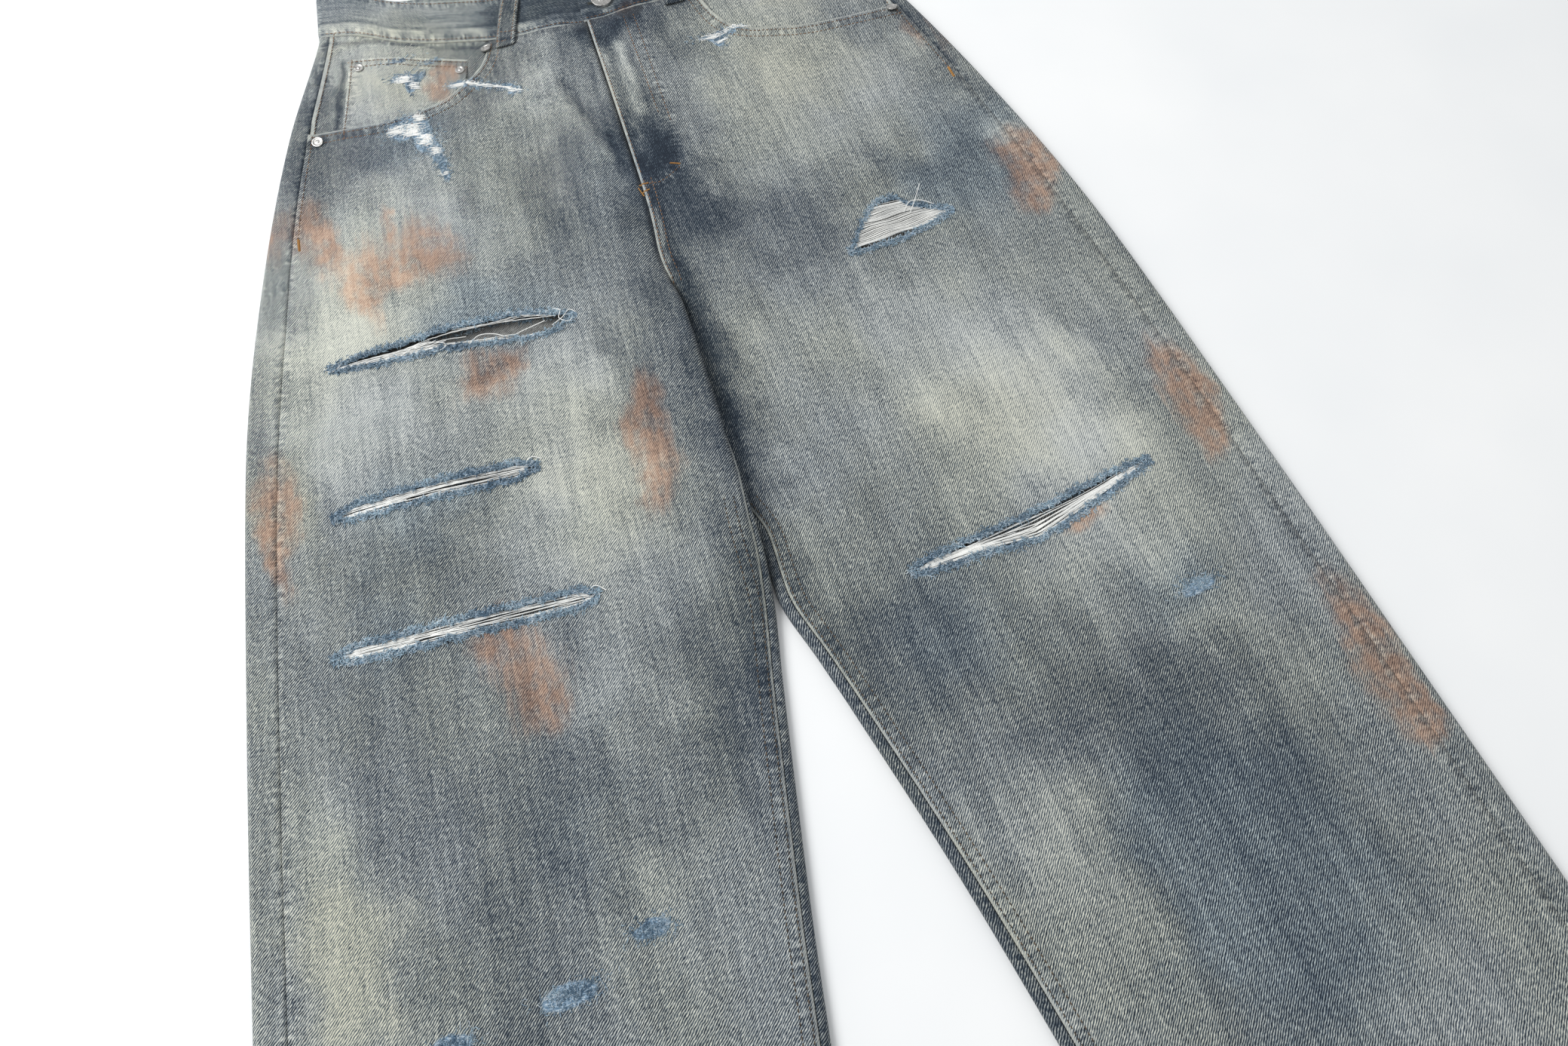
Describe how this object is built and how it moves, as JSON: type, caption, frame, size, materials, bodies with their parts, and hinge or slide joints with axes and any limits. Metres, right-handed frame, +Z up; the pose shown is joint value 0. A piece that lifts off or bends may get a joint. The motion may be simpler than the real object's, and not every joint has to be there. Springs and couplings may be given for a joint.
{
  "type": "ripped jeans",
  "caption": "Wide-leg denim jeans laid flat on their back, front up, with frayed torn slits, scooped pockets, zip fly, belt loops, rivets and a waist button.",
  "frame": {"origin": "centre of the bounding box, on the surface the garment lies on", "axes": "+Y from the hems to the waist, +Z up from the back panels to the front panels, +X towards the wearer's left leg"},
  "size_m": [0.7444, 1.0849, 0.0207],
  "materials": {
    "denim": "faded, dirty-washed indigo twill, matte",
    "denim_dark": "less washed indigo twill, matte",
    "zip_tape": "woven tape, matte",
    "nickel": "worn nickel plate, satin"
  },
  "bodies": {
    "root": {"front_right": "denim", "front_left": "denim", "pocket_facing_right": "denim", "pocket_facing_left": "denim", "coin_pocket": "denim", "fly_facing": "denim_dark", "zip": "zip_tape", "fly_shield": "denim_dark", "yoke_right": "denim", "back_right": "denim", "back_pocket_right": "denim", "yoke_left": "denim", "back_left": "denim", "back_pocket_left": "denim", "hem_right": "denim", "hem_left": "denim", "waistband": "denim", "belt_loop_front_right": "denim", "belt_loop_front_left": "denim", "belt_loop_back_right": "denim", "belt_loop_back_left": "denim", "belt_loop_centre_back": "denim", "waist_button": "nickel", "rivet_right_inner": "nickel", "rivet_right_outer": "nickel", "rivet_left_inner": "nickel", "rivet_left_outer": "nickel", "rivet_coin_inner": "nickel", "rivet_coin_outer": "nickel"}
  },
  "joints": []
}
